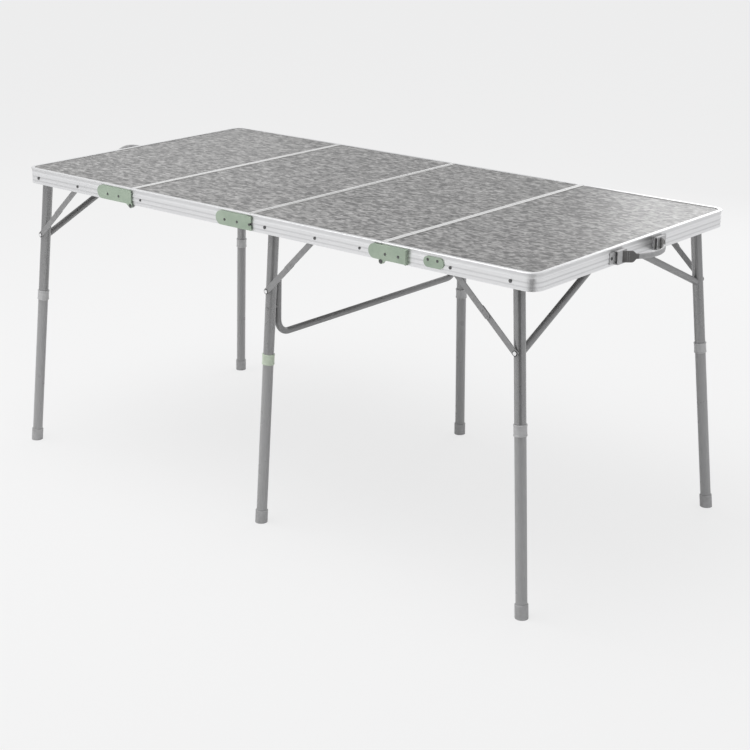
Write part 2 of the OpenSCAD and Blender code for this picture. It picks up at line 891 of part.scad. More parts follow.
module collars_left() {
    collars(LEFT);
}

module collars_mid() {
    collars(MID);
}

module collars_right() {
    collars(RIGHT);
}

// Extension: a tube below the collar, with a spigot that slides in the upper tube
module extension(pair, side) {
    low = leg_len(pair) - tube_rest;
    r0 = bore_r - spigot_wall;
    r1 = bore_r - fit;
    color("gray") at(side) along_leg(pair) rotate_extrude() polygon([
        [r0, -upper_len + spigot_len], [r1, -upper_len + spigot_len],
        [r1, -upper_len - gap], [leg_r, -upper_len - gap], [leg_r, -low], [bore_r, -low],
        [bore_r, -upper_len - spigot_root], [r0, -upper_len - spigot_root]]);
}

module extension_left_front() {
    extension(LEFT, "front");
}

module extension_left_back() {
    extension(LEFT, "back");
}

module extension_mid_front() {
    extension(MID, "front");
}

module extension_mid_back() {
    extension(MID, "back");
}

module extension_right_front() {
    extension(RIGHT, "front");
}

module extension_right_back() {
    extension(RIGHT, "back");
}

// Rubber foot: a cup on the tube's end, cut flat where it stands on the floor
module foot(pair, side) {
    len = leg_len(pair);
    r0 = leg_r + fit;
    r1 = r0 + foot_wall;
    color("darkgray") at(side) difference() {
        along_leg(pair) rotate_extrude() polygon([
            [0, -len - foot_sole], [r1, -len - foot_sole], [r1, -len + foot_h - past],
            [r1 - past, -len + foot_h], [r0, -len + foot_h], [r0, -len + foot_cover],
            [0, -len + foot_cover]]);
        translate([leg_x(pair, len) - leg_d, leg_side(len) - leg_d, -leg_r])
            cube([2 * leg_d, 2 * leg_d, leg_r]);
    }
}

module foot_left_front() {
    foot(LEFT, "front");
}

module foot_left_back() {
    foot(LEFT, "back");
}

module foot_mid_front() {
    foot(MID, "front");
}

module foot_mid_back() {
    foot(MID, "back");
}

module foot_right_front() {
    foot(RIGHT, "front");
}

module foot_right_back() {
    foot(RIGHT, "back");
}

// Stay bars: each runs from its own pivot to the middle of the stay and a little beyond
module stay_top(pair, side) {
    half = stay_span(pair) / 2;
    x = leg_x(pair, stay_leg) - rail_pivot(pair);
    z = leg_z(pair, stay_leg) - pivot_z;
    y = stay_top_y + stay_t;
    color("silver") at(side) translate([rail_pivot(pair), 0, pivot_z])
        rotate([0, -atan2(z, x), 0]) {
            difference() {
                across(stay_top_y, y) bar_outline(half + stay_tail, stay_w);
                hole(0, 0, stay_top_y - past, y + past, stud_r + fit);
            }
            for (s = [half, half + stay_tail]) rivet(s, 0, y - head_rim, y, rivet_r, stay_rivet_r);
        }
}

module stay_low(pair, side) {
    half = stay_span(pair) / 2;
    x = rail_pivot(pair) - leg_x(pair, stay_leg);
    z = pivot_z - leg_z(pair, stay_leg);
    y = stay_low_y + stay_t;
    color("silver") at(side)
        translate([leg_x(pair, stay_leg), 0, leg_z(pair, stay_leg)])
            rotate([0, -atan2(z, x), 0]) difference() {
                across(stay_low_y, y) bar_outline(half + stay_low_tail, stay_w);
                hole(0, 0, stay_low_y - past, y + past, stud_r + fit);
            }
}

module stay_top_left_front() {
    stay_top(LEFT, "front");
}

module stay_low_left_front() {
    stay_low(LEFT, "front");
}

module stay_top_left_back() {
    stay_top(LEFT, "back");
}

module stay_low_left_back() {
    stay_low(LEFT, "back");
}

module stay_top_mid_front() {
    stay_top(MID, "front");
}

module stay_low_mid_front() {
    stay_low(MID, "front");
}

module stay_top_mid_back() {
    stay_top(MID, "back");
}

module stay_low_mid_back() {
    stay_low(MID, "back");
}

module stay_top_right_front() {
    stay_top(RIGHT, "front");
}

module stay_low_right_front() {
    stay_low(RIGHT, "front");
}

module stay_top_right_back() {
    stay_top(RIGHT, "back");
}

module stay_low_right_back() {
    stay_low(RIGHT, "back");
}

board_1();
rail_1();
seam_bar_1();
plates_1();
rivets_1();
handle_1();
clips_1();
board_2();
rail_2_front();
rail_2_back();
seam_bars_2();
ears_2();
plates_2();
rivets_2();
board_3();
rail_3_front();
rail_3_back();
seam_bars_3();
ears_3();
rivets_3();
board_4();
rail_4();
seam_bar_4();
plates_4();
rivets_4();
handle_4();
clips_4();
legs_left();
frame_left();
collars_left();
legs_mid();
stretcher_mid();
collars_mid();
legs_right();
frame_right();
collars_right();
extension_left_front();
extension_left_back();
extension_mid_front();
extension_mid_back();
extension_right_front();
extension_right_back();
foot_left_front();
foot_left_back();
foot_mid_front();
foot_mid_back();
foot_right_front();
foot_right_back();
stay_top_left_front();
stay_low_left_front();
stay_top_left_back();
stay_low_left_back();
stay_top_mid_front();
stay_low_mid_front();
stay_top_mid_back();
stay_low_mid_back();
stay_top_right_front();
stay_low_right_front();
stay_top_right_back();
stay_low_right_back();
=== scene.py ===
"""Folding table: materials, strap handles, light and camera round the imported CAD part."""
import json
import math

import bpy
import numpy as np
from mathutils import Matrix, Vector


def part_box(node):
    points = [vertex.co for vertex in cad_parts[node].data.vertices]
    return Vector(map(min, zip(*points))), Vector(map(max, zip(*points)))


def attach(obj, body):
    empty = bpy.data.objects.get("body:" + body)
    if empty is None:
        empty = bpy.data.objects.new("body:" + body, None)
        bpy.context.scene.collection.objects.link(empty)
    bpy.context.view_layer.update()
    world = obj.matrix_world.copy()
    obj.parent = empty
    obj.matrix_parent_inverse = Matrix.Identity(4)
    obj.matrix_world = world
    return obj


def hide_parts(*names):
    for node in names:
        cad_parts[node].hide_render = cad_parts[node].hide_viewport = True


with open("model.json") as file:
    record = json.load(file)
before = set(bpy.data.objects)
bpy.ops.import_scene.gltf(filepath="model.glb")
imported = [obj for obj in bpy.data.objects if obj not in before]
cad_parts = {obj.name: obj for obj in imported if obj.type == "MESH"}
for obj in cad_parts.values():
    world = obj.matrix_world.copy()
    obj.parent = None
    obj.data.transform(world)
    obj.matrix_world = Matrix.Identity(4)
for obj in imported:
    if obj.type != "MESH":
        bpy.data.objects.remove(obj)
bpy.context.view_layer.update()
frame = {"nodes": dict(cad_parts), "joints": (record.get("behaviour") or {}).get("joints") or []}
node_object = frame["nodes"]

# ---------------------------------------------------------------- camera, floor and light
# A long lens looks down a little on the front right corner of the table. The floor and the
# background are one pale tone, and large soft lamps light the table from above.

camera = bpy.data.objects.new("camera", bpy.data.cameras.new("camera"))
bpy.context.collection.objects.link(camera)
camera.location = (2.4069, -2.8055, 1.5115)
camera.rotation_euler = [math.radians(angle) for angle in (71.153, -0.345, 40.121)]
camera.data.sensor_width = 36
camera.data.lens = 77.97
camera.data.clip_end = 60
bpy.context.scene.camera = camera

# The floor's tone for the camera, the share of it that no shadow reaches, and half its side
BACKGROUND = 0.896
EVEN_SHARE = 0.8
FLOOR_HALF = 30


def new_material(name):
    """An empty node material with its output: returns the material, its nodes and its links."""
    material = bpy.data.materials.new(name)
    material.use_nodes = True
    material.node_tree.nodes.clear()
    return material, material.node_tree.nodes, material.node_tree.links


def square_mesh(name, half):
    """A flat upward square round the origin, of side twice half."""
    mesh = bpy.data.meshes.new(name)
    mesh.from_pydata([(-half, -half, 0), (half, -half, 0), (half, half, 0), (-half, half, 0)],
                     [], [(0, 1, 2, 3)])
    return mesh


floor = bpy.data.objects.new("floor", square_mesh("floor", FLOOR_HALF))
bpy.context.collection.objects.link(floor)
material, nodes, links = new_material("floor_paper")
output = nodes.new("ShaderNodeOutputMaterial")
diffuse = nodes.new("ShaderNodeBsdfDiffuse")
diffuse.inputs["Color"].default_value = (0.9, 0.9, 0.9, 1)
even = nodes.new("ShaderNodeEmission")
even.inputs["Color"].default_value = (BACKGROUND, BACKGROUND, BACKGROUND, 1)
share = nodes.new("ShaderNodeMath")
share.operation = "MULTIPLY"
share.inputs[1].default_value = EVEN_SHARE
mix = nodes.new("ShaderNodeMixShader")
links.new(nodes.new("ShaderNodeLightPath").outputs["Is Camera Ray"], share.inputs[0])
links.new(share.outputs[0], mix.inputs[0])
links.new(diffuse.outputs[0], mix.inputs[1])
links.new(even.outputs[0], mix.inputs[2])
links.new(mix.outputs[0], output.inputs["Surface"])
floor.data.materials.append(material)

# The light that comes from all round, of which the camera sees only the background's tone
WORLD_LIGHT = (0.72, 0.72, 0.73)

world = bpy.data.worlds.new("studio")
bpy.context.scene.world = world
world.use_nodes = True
nodes, links = world.node_tree.nodes, world.node_tree.links
nodes.clear()
output = nodes.new("ShaderNodeOutputWorld")
seen = nodes.new("ShaderNodeBackground")
seen.inputs["Color"].default_value = (BACKGROUND, BACKGROUND, BACKGROUND, 1)
lighting = nodes.new("ShaderNodeBackground")
lighting.inputs["Color"].default_value = (*WORLD_LIGHT, 1)
is_camera = nodes.new("ShaderNodeLightPath")
mix = nodes.new("ShaderNodeMixShader")
links.new(is_camera.outputs["Is Camera Ray"], mix.inputs[0])
links.new(lighting.outputs[0], mix.inputs[1])
links.new(seen.outputs[0], mix.inputs[2])
links.new(mix.outputs[0], output.inputs["Surface"])


def soft_lamp(name, place, target, size, power):
    """Adds a square area lamp at place that faces target, size metres wide and of power watts."""
    lamp = bpy.data.objects.new(name, bpy.data.lights.new(name, "AREA"))
    bpy.context.collection.objects.link(lamp)
    lamp.data.size = size
    lamp.data.energy = power
    lamp.location = place
    towards = np.array(target, float) - np.array(place, float)
    flat = math.hypot(towards[0], towards[1])
    heading = math.atan2(towards[1], towards[0]) - math.pi / 2
    lamp.rotation_euler = (math.atan2(flat, -towards[2]), 0, heading)


soft_lamp("overhead_lamp", (-0.6, -0.8, 3.4), (0, 0, 0.3), size=2.6, power=60)
soft_lamp("right_back_lamp", (-0.31, 3.1, 1.6), (0.6, 0.2, 0.7), size=1.6, power=13.5)
soft_lamp("left_back_lamp", (-3.2, 2.3, 1.35), (-0.6, 0.2, 0.7), size=1.2, power=1.2)

# A black card stands in front of the table, as in a product studio: round tubes show it as a
# darker stripe between lighter edges. It gives no light and isn't seen itself.
CARD_PLACE = (1.95, -2.05, 1.0)
CARD_HALF = 1.0

card = bpy.data.objects.new("black_card", square_mesh("black_card", CARD_HALF))
bpy.context.collection.objects.link(card)
card.location = CARD_PLACE
card.rotation_euler = (math.radians(90), 0, math.atan2(CARD_PLACE[0], -CARD_PLACE[1]))
card.visible_camera = False
material, nodes, links = new_material("black_cloth")
diffuse = nodes.new("ShaderNodeBsdfDiffuse")
diffuse.inputs["Color"].default_value = (0.02, 0.02, 0.02, 1)
links.new(diffuse.outputs[0], nodes.new("ShaderNodeOutputMaterial").inputs["Surface"])
card.data.materials.append(material)

# ---------------------------------------------------------------- boards
# Each panel is a thin fibreboard faced with a printed laminate, slid into the rails' channels.
# The print is a mottled warm grey with short darker and lighter flecks, under a satin film.


def principled(name, roughness, metallic=0.0):
    """A Principled material: returns the material, its nodes, its links and the shader."""
    material, nodes, links = new_material(name)
    output = nodes.new("ShaderNodeOutputMaterial")
    shader = nodes.new("ShaderNodeBsdfPrincipled")
    shader.inputs["Roughness"].default_value = roughness
    shader.inputs["Metallic"].default_value = metallic
    links.new(shader.outputs[0], output.inputs["Surface"])
    return material, nodes, links, shader


def object_noise(nodes, links, scale, detail, stretch=(1, 1, 1), turn=0.0, distortion=0.0):
    """Noise over object coordinates, stretched along the axes and turned about Z."""
    place = nodes.new("ShaderNodeTexCoord")
    mapping = nodes.new("ShaderNodeMapping")
    mapping.inputs["Scale"].default_value = stretch
    mapping.inputs["Rotation"].default_value = (0, 0, turn)
    noise = nodes.new("ShaderNodeTexNoise")
    noise.inputs["Scale"].default_value = scale
    noise.inputs["Detail"].default_value = detail
    noise.inputs["Distortion"].default_value = distortion
    links.new(place.outputs["Object"], mapping.inputs["Vector"])
    links.new(mapping.outputs[0], noise.inputs["Vector"])
    return noise.outputs["Fac"]


def ramp(nodes, links, value, stops):
    """A colour ramp over value, from stops of position and grey or colour."""
    node = nodes.new("ShaderNodeValToRGB")
    elements = node.color_ramp.elements
    while len(elements) < len(stops):
        elements.new(0.5)
    for element, (position, colour) in zip(elements, stops):
        element.position = position
        tone = (colour,) * 3 if isinstance(colour, (int, float)) else colour
        element.color = (*tone, 1)
    links.new(value, node.inputs["Fac"])
    return node.outputs["Color"]


def bump(nodes, links, shader, value, strength, distance):
    """Bump from value on the shader's normal."""
    node = nodes.new("ShaderNodeBump")
    node.inputs["Strength"].default_value = strength
    node.inputs["Distance"].default_value = distance
    links.new(value, node.inputs["Height"])
    links.new(node.outputs[0], shader.inputs["Normal"])


def mix_colour(nodes, links, factor, first, second, blend="MIX"):
    """Mixes two colours by factor: each may be a socket, or three numbers."""
    node = nodes.new("ShaderNodeMix")
    node.data_type = "RGBA"
    node.blend_type = blend
    for socket, value in ((node.inputs["Factor"], factor), (node.inputs[6], first),
                          (node.inputs[7], second)):
        if isinstance(value, bpy.types.NodeSocket):
            links.new(value, socket)
        elif isinstance(value, (int, float)):
            socket.default_value = value
        else:
            socket.default_value = (*value, 1)
    return node.outputs[2]


def dress(material, names):
    """Gives the CAD nodes of these names one material on all their slots."""
    for name in names:
        mesh = node_object[name].data
        mesh.materials.clear()
        mesh.materials.append(material)


laminate, nodes, links, shader = principled("laminate_print", 0.34)
flecks = object_noise(nodes, links, 98, 5, stretch=(0.65, 1.25, 1), turn=math.radians(-40),
                      distortion=0.7)
clouds = object_noise(nodes, links, 9, 3)
fleck_tone = ramp(nodes, links, flecks, [(0.36, (0.052, 0.051, 0.049)),
                                         (0.47, (0.130, 0.128, 0.124)),
                                         (0.54, (0.205, 0.202, 0.196)),
                                         (0.66, (0.35, 0.345, 0.337))])
cloud_tone = ramp(nodes, links, clouds, [(0.3, 0.92), (0.7, 1.0)])
links.new(mix_colour(nodes, links, 1.0, fleck_tone, cloud_tone, "MULTIPLY"),
          shader.inputs["Base Color"])
fine = object_noise(nodes, links, 900, 2)
bump(nodes, links, shader, fine, 0.06, 0.0004)
dress(laminate, ["board_1", "board_2", "board_3", "board_4"])

# ---------------------------------------------------------------- rails and trim bars
# The rails are extruded aluminium with flat ribs, bent round the table's corners, and the trim
# bars cover the boards' edges at the seams. Both have a clear satin anodised finish. The rails'
# colour carries painted shade in their grooves and under their bead.


def split_axes(nodes, links):
    """The object coordinates, one socket for each axis."""
    axes = nodes.new("ShaderNodeSeparateXYZ")
    links.new(nodes.new("ShaderNodeTexCoord").outputs["Object"], axes.inputs[0])
    return axes.outputs


rail_finish, nodes, links, shader = principled("rail_anodised", 0.34, 0.9)
lines = object_noise(nodes, links, 40, 3, stretch=(0.05, 0.05, 24))
brushed = ramp(nodes, links, lines, [(0.3, (0.88, 0.883, 0.885)), (0.7, (0.95, 0.952, 0.955))])
height = nodes.new("ShaderNodeMapRange")
height.inputs["From Min"].default_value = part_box("rail_1")[0][2]
height.inputs["From Max"].default_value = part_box("rail_1")[1][2]
links.new(split_axes(nodes, links)["Z"], height.inputs["Value"])
# From the rail's lower edge upwards: painted shade in two grooves between pale ribs, then a
# painted shaded band under the bead
groove_painted_shade = ramp(nodes, links, height.outputs[0],
               [(0.15, 0.98), (0.18, 0.84), (0.24, 0.84), (0.27, 1.0), (0.41, 0.97), (0.44, 0.8),
                (0.50, 0.84), (0.53, 1.0), (0.70, 0.98), (0.80, 0.8), (0.90, 0.78), (0.93, 0.88)])
links.new(mix_colour(nodes, links, 1.0, brushed, groove_painted_shade, "MULTIPLY"), shader.inputs["Base Color"])
smudge = object_noise(nodes, links, 14, 4)
links.new(ramp(nodes, links, smudge, [(0.3, 0.30), (0.7, 0.42)]), shader.inputs["Roughness"])
bump(nodes, links, shader, lines, 0.12, 0.0003)
dress(rail_finish, ["rail_1", "rail_2_front", "rail_2_back", "rail_3_front", "rail_3_back",
                    "rail_4"])

trim_finish, nodes, links, shader = principled("trim_anodised", 0.38, 0.85)
lines = object_noise(nodes, links, 40, 3, stretch=(24, 0.05, 24))
links.new(ramp(nodes, links, lines, [(0.3, (0.78, 0.78, 0.77)), (0.7, (0.85, 0.85, 0.84))]),
          shader.inputs["Base Color"])
bump(nodes, links, shader, lines, 0.12, 0.0003)
dress(trim_finish, ["seam_bar_1", "seam_bars_2", "seam_bars_3", "seam_bar_4"])

# ---------------------------------------------------------------- hinge plates, ears and rivets
# The outer plates are pressed steel with a muted green powder coat; the inner ears are zinc
# plated, and the rivets, bolts and pins are bright steel that has dulled a little.


def mottled(name, roughness, tone, gloss=None, grain=None, metallic=0.0):
    """A Principled material with a mottled base colour, and mottled roughness and bump if given.

    tone and gloss each hold a noise scale, its detail, and the values at its low and high end;
    grain holds the bump's noise scale, its detail, the strength and the distance.
    """
    material, nodes, links, shader = principled(name, roughness, metallic)
    for recipe, socket in ((tone, "Base Color"), (gloss, "Roughness")):
        if recipe:
            scale, detail, low, high = recipe
            noise = object_noise(nodes, links, scale, detail)
            links.new(ramp(nodes, links, noise, [(0.3, low), (0.7, high)]), shader.inputs[socket])
    if grain:
        scale, detail, strength, distance = grain
        bump(nodes, links, shader, object_noise(nodes, links, scale, detail), strength, distance)
    return material


green_coat = mottled("green_coat", 0.42, (30, 3, (0.36, 0.45, 0.35), (0.44, 0.53, 0.42)),
                     grain=(700, 3, 0.15, 0.0002))
dress(green_coat, ["plates_1", "plates_2", "plates_4"])

zinc, nodes, links, shader = principled("zinc_plate", 0.4, 0.9)
spangle = object_noise(nodes, links, 120, 3)
links.new(ramp(nodes, links, spangle, [(0.35, 0.46), (0.65, 0.58)]), shader.inputs["Base Color"])
links.new(ramp(nodes, links, spangle, [(0.35, 0.34), (0.65, 0.48)]), shader.inputs["Roughness"])
dress(zinc, ["ears_2", "ears_3"])

rivet_steel = mottled("rivet_steel", 0.35, (260, 3, 0.10, 0.17), gloss=(90, 3, 0.28, 0.45),
                      metallic=1.0)
dress(rivet_steel, ["rivets_1", "rivets_2", "rivets_3", "rivets_4"])

# ---------------------------------------------------------------- legs and frames
# Round aluminium tube with a grey satin coat, welded and bolted into pairs. The coat has a
# faint grain along each tube, and is duller and paler on the extensions. The rivets that hold
# the stays are bright.

PAIRS = ["left", "mid", "right"]
SIDES = ["front", "back"]
ALONG_Z = (8, 8, 0.3)
ALONG_Y = (8, 0.3, 8)
# X and Z of the stays' lower rivets, the same in front and at the back; the radius and tone of
# a rivet's head, and of the painted shadow round it on the stays
STAY_RIVETS = [(joint["pos_m"][0], joint["pos_m"][2]) for joint in frame["joints"]
               if joint["name"].startswith("stay_low") and joint["name"].endswith("front_turn")]
HEAD_R = 0.0044
HEAD_TONE = (0.9, 0.9, 0.9)
PAINTED_SHADOW_R = 0.0062
PAINTED_SHADOW_TONE = (0.06, 0.06, 0.06)


def near_rivets(nodes, links, radius):
    """1 within radius of a stay's lower rivet, measured square to Y, and 0 elsewhere."""
    flat = nodes.new("ShaderNodeVectorMath")
    flat.operation = "MULTIPLY"
    flat.inputs[1].default_value = (1, 0, 1)
    links.new(nodes.new("ShaderNodeTexCoord").outputs["Object"], flat.inputs[0])
    mask = None
    for x, z in STAY_RIVETS:
        away = nodes.new("ShaderNodeVectorMath")
        away.operation = "DISTANCE"
        away.inputs[1].default_value = (x, 0, z)
        links.new(flat.outputs[0], away.inputs[0])
        near = nodes.new("ShaderNodeMath")
        near.operation = "LESS_THAN"
        near.inputs[1].default_value = radius
        links.new(away.outputs["Value"], near.inputs[0])
        if mask:
            either = nodes.new("ShaderNodeMath")
            either.operation = "MAXIMUM"
            links.new(mask, either.inputs[0])
            links.new(near.outputs[0], either.inputs[1])
            near = either
        mask = near.outputs[0]
    return mask


def tube_coat(name, names, tones, metallic, gloss, stretch, rivets=False):
    """Dresses tubes in a grey coat: base tones, metallic share, roughness range and grain.

    With rivets, the heads of the stays' lower rivets, which belong to these nodes, are bright.
    """
    coat, nodes, links, shader = principled(name, 0.34, metallic)
    grain = object_noise(nodes, links, 60, 4, stretch=stretch)
    colour = ramp(nodes, links, grain, list(zip((0.3, 0.7), tones)))
    if rivets:
        colour = mix_colour(nodes, links, near_rivets(nodes, links, HEAD_R), colour, HEAD_TONE)
    links.new(colour, shader.inputs["Base Color"])
    wear = object_noise(nodes, links, 22, 3)
    links.new(ramp(nodes, links, wear, list(zip((0.3, 0.7), gloss))), shader.inputs["Roughness"])
    shader.inputs["IOR"].default_value = 1.7
    bump(nodes, links, shader, grain, 0.02, 0.0001)
    dress(coat, names)


tube_coat("upper_coat", [f"legs_{pair}" for pair in PAIRS],
          tones=(0.285, 0.32), metallic=0.5, gloss=(0.20, 0.30), stretch=ALONG_Z, rivets=True)
tube_coat("frame_coat", ["frame_left", "frame_right", "stretcher_mid"],
          tones=(0.27, 0.29), metallic=0.2, gloss=(0.36, 0.44), stretch=ALONG_Y)
tube_coat("extension_coat", [f"extension_{pair}_{side}" for pair in PAIRS for side in SIDES],
          tones=(0.32, 0.36), metallic=0.0, gloss=(0.26, 0.38), stretch=ALONG_Z)

# ---------------------------------------------------------------- collars and feet
# Moulded parts: light grey collars, of which the one on the middle pair's front leg is green
# and marks the pair for assembly, and grey rubber feet.

collar_plastic = mottled("collar_plastic", 0.4, (80, 4, 0.46, 0.54), grain=(1500, 2, 0.08, 0.0002))
dress(collar_plastic, ["collars_left", "collars_right"])

green_plastic, nodes, links, shader = principled("green_plastic", 0.42)
mottle = object_noise(nodes, links, 80, 4)
green = ramp(nodes, links, mottle, [(0.3, (0.54, 0.62, 0.49)), (0.7, (0.62, 0.70, 0.57))])
grey = ramp(nodes, links, mottle, [(0.3, 0.46), (0.7, 0.54)])
behind = nodes.new("ShaderNodeMath")
behind.operation = "GREATER_THAN"
behind.inputs[1].default_value = 0
links.new(split_axes(nodes, links)["Y"], behind.inputs[0])
links.new(mix_colour(nodes, links, behind.outputs[0], green, grey), shader.inputs["Base Color"])
bump(nodes, links, shader, object_noise(nodes, links, 1500, 2), 0.08, 0.0002)
dress(green_plastic, ["collars_mid"])

foot_rubber = mottled("foot_rubber", 0.6, (90, 5, 0.36, 0.44), grain=(1200, 3, 0.2, 0.0003))
dress(foot_rubber, [f"foot_{pair}_{side}" for pair in PAIRS for side in SIDES])

# ---------------------------------------------------------------- folding stays
# Flat steel bars with round ends, in the legs' grey but smoother and brighter. Two are riveted
# end to end for each leg, and a dark rim of painted shadow lies round the rivet on the leg.

stay_steel = mottled("stay_steel", 0.4, (150, 4, 0.28, 0.34), grain=(500, 3, 0.08, 0.0002),
                     metallic=0.15)
nodes, links = stay_steel.node_tree.nodes, stay_steel.node_tree.links
colour = nodes["Principled BSDF"].inputs["Base Color"]
# Painted shadow: a dark rim round each of the stays' lower rivets
links.new(mix_colour(nodes, links, near_rivets(nodes, links, PAINTED_SHADOW_R), colour.links[0].from_socket,
                     PAINTED_SHADOW_TONE), colour)
dress(stay_steel, [f"stay_{bar}_{pair}_{side}"
                   for bar in ("top", "low") for pair in PAIRS for side in SIDES])

# ---------------------------------------------------------------- strap handles
# A carrying handle bows out of each end rail: flat webbing whose ends run into moulded loops,
# and which is folded double and sewn inside a smooth sleeve where the hand holds it.

# The strap's thickness and half width, the grip's half height and reach to each side, and the
# length over which one narrows to the other
WEB_T = 0.0032
WEB_HALF = 0.012
GRIP_HALF = 0.0055
GRIP_REACH = 0.054
TAPER = 0.008
# The share of its depth that the strap keeps, which leaves room for the puckers, and the
# superellipse powers of its flat band and of its grip
WEB_FULL = 0.97
BAND_POWER = 7
GRIP_POWER = 2.8
# Height of the puckers where the strap gathers, how closely they lie, and the share of the
# depth past which they show
PUCKER = 0.00035
PUCKER_TURNS = 14
PUCKER_FACE = 0.4
# The sleeve stops short of the grip's ends by this, stands over its edges by this, and its
# ends roll inwards over this length, down to this share of its section
SLEEVE_SHORT = 0.002
SLEEVE_OVER = 0.0001
SLEEVE_ROLL = 0.0016
ROLLED = 0.86
# The sleeve's half depth, its swell in the middle, and its superellipse power
SLEEVE_DEPTH = WEB_T * 0.99
SLEEVE_SWELL = 0.05
SLEEVE_POWER = 2.6
# Stitch rows' distances from the middle, their stitches' outermost height, a stitch's half
# length along the row, half width and half thickness, and how deep its middle lies in the band
ROWS = (0.0665, 0.069)
ROW_TOP = 0.0096
STITCHES = 7
STITCH = (0.0012, 0.0004, 0.00035)
STITCH_SUNK = 0.00008
# How far the left handle's middle stands above its ends
LEFT_RISE = 0.0105


def smooth(t):
    """Smoothstep of t, held to the range 0 to 1."""
    t = np.clip(t, 0, 1)
    return t * t * (3 - 2 * t)


def handle_arc():
    """Centre, outer radius and half angle of the right handle's arc, from its CAD box.

    The box is as deep as the arc's bow plus the strap's thickness turned by the half angle.
    Repeated substitution solves that for the half angle.
    """
    low, high = (np.array(corner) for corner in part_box("handle_4"))
    turn = 1.0
    for _ in range(30):
        turn = 2 * math.atan((high[0] - low[0] - WEB_T * math.cos(turn)) / high[1])
    radius = high[1] / math.sin(turn)
    return np.array([high[0] - radius, 0, (low[2] + high[2]) / 2]), radius, turn


ARC_CENTRE, ARC_RADIUS, ARC_TURN = handle_arc()


def grip_share(angle):
    """1 where the strap is folded for the grip, 0 where it is flat, smooth between."""
    return 1 - smooth((np.abs(ARC_RADIUS * np.sin(angle)) - GRIP_REACH) / TAPER)


def arc_points(angle, radius, height):
    """Points at these angles, radii and heights round the handle's centre."""
    return np.stack([ARC_CENTRE[0] + radius * np.cos(angle), radius * np.sin(angle),
                     ARC_CENTRE[2] + height], axis=-1)


def to_left_end(place):
    """Mirrors points to the table's left end, where the strap's middle has set a little upwards.

    The rise is a squared cosine over the handle's span.
    """
    place[:, 0] *= -1
    span = ARC_RADIUS * math.sin(ARC_TURN)
    place[:, 2] += LEFT_RISE * np.cos(np.clip(place[:, 1] / span, -1, 1) * np.pi / 2) ** 2


def new_piece(name, place, faces, mirrored, smooth_faces):
    """An object from points and faces, the first smooth_faces of them shaded smooth.

    A mirrored piece moves to the left end and has its faces turned over.
    """
    if mirrored:
        to_left_end(place)
        faces = [face[::-1] for face in faces]
    mesh = bpy.data.meshes.new(name)
    mesh.from_pydata(place.tolist(), [], faces)
    mesh.polygons.foreach_set("use_smooth", np.arange(len(faces)) < smooth_faces)
    mesh.update()
    piece = bpy.data.objects.new(name, mesh)
    bpy.context.collection.objects.link(piece)
    return piece


def loft(name, points, mirrored):
    """A closed loft through the rings of points (rings, around, 3), with both ends capped."""
    rings, around = points.shape[:2]
    i, j = np.meshgrid(np.arange(rings - 1), np.arange(around), indexing="ij")
    k = (j + 1) % around
    quads = np.stack([i * around + j, (i + 1) * around + j, (i + 1) * around + k,
                      i * around + k], axis=-1).reshape(-1, 4).tolist()
    caps = [list(range(around)), list(range((rings - 1) * around, rings * around))[::-1]]
    return new_piece(name, points.reshape(-1, 3).copy(), quads + caps, mirrored, len(quads))


def section(half_height, half_depth, power, around):
    """Superellipse points round a section: heights and depths, one row per ring."""
    v = np.linspace(0, 2 * np.pi, around, endpoint=False)[None, :]
    c, s = np.cos(v), np.sin(v)
    height = half_height[:, None] * np.sign(c) * np.abs(c) ** (2 / power[:, None])
    depth = half_depth[:, None] * np.sign(s) * np.abs(s) ** (2 / power[:, None])
    return height, depth


def webbing(name, mirrored):
    """The strap: a flat woven band that gathers into a rounded bar at the grip.

    Each ring is a superellipse whose height falls from the band's to the grip's and whose
    depth grows to two layers. Shallow sine puckers run along the band where it gathers. The UV
    map runs in centimetres along the strap and from -1 to 1 across it.
    """
    angle = np.linspace(-ARC_TURN, ARC_TURN, 241)
    share = grip_share(angle)
    half_height = WEB_HALF + (GRIP_HALF - WEB_HALF) * share
    half_depth = WEB_T / 2 * (1 + share)
    power = BAND_POWER + (GRIP_POWER - BAND_POWER) * share
    height, depth = section(half_height, half_depth * WEB_FULL, power, around=56)
    pucker = 4 * share * (1 - share)
    depth += (pucker[:, None] * PUCKER * np.sin(height / WEB_HALF * PUCKER_TURNS)
              * np.sign(depth) * (np.abs(depth) > half_depth[:, None] * PUCKER_FACE))
    middle = ARC_RADIUS - half_depth
    points = arc_points(angle[:, None] + 0 * depth, middle[:, None] + depth, height)
    piece = loft(name, points, mirrored)
    uv = np.stack([(angle[:, None] * ARC_RADIUS + 0 * height) * 100, height / WEB_HALF], axis=-1)
    corner = np.zeros(len(piece.data.loops), dtype=np.int32)
    piece.data.loops.foreach_get("vertex_index", corner)
    layer = piece.data.uv_layers.new(name="UVMap")
    layer.data.foreach_set("uv", uv.reshape(-1, 2)[corner].ravel())
    return piece


def sleeve(name, mirrored):
    """The grip's smooth sleeve: a superellipse tube round the folded strap.

    It swells a little towards the middle, and a quarter circle rolls each end inwards.
    """
    reach = math.asin((GRIP_REACH - SLEEVE_SHORT) / ARC_RADIUS)
    angle = np.linspace(-reach, reach, 121)
    edge = np.clip((reach - np.abs(angle)) * ARC_RADIUS / SLEEVE_ROLL, 0, 1)
    roll = ROLLED + (1 - ROLLED) * np.sqrt(1 - (1 - edge) ** 2)
    swell = 1 + SLEEVE_SWELL * np.cos(angle / reach * np.pi / 2)
    half_height = (GRIP_HALF + SLEEVE_OVER) * roll * swell
    half_depth = SLEEVE_DEPTH * roll
    power = np.full(len(angle), SLEEVE_POWER)
    height, depth = section(half_height, half_depth, power, around=48)
    points = arc_points(angle[:, None] + 0 * depth, ARC_RADIUS - WEB_T + depth, height)
    return loft(name, points, mirrored)


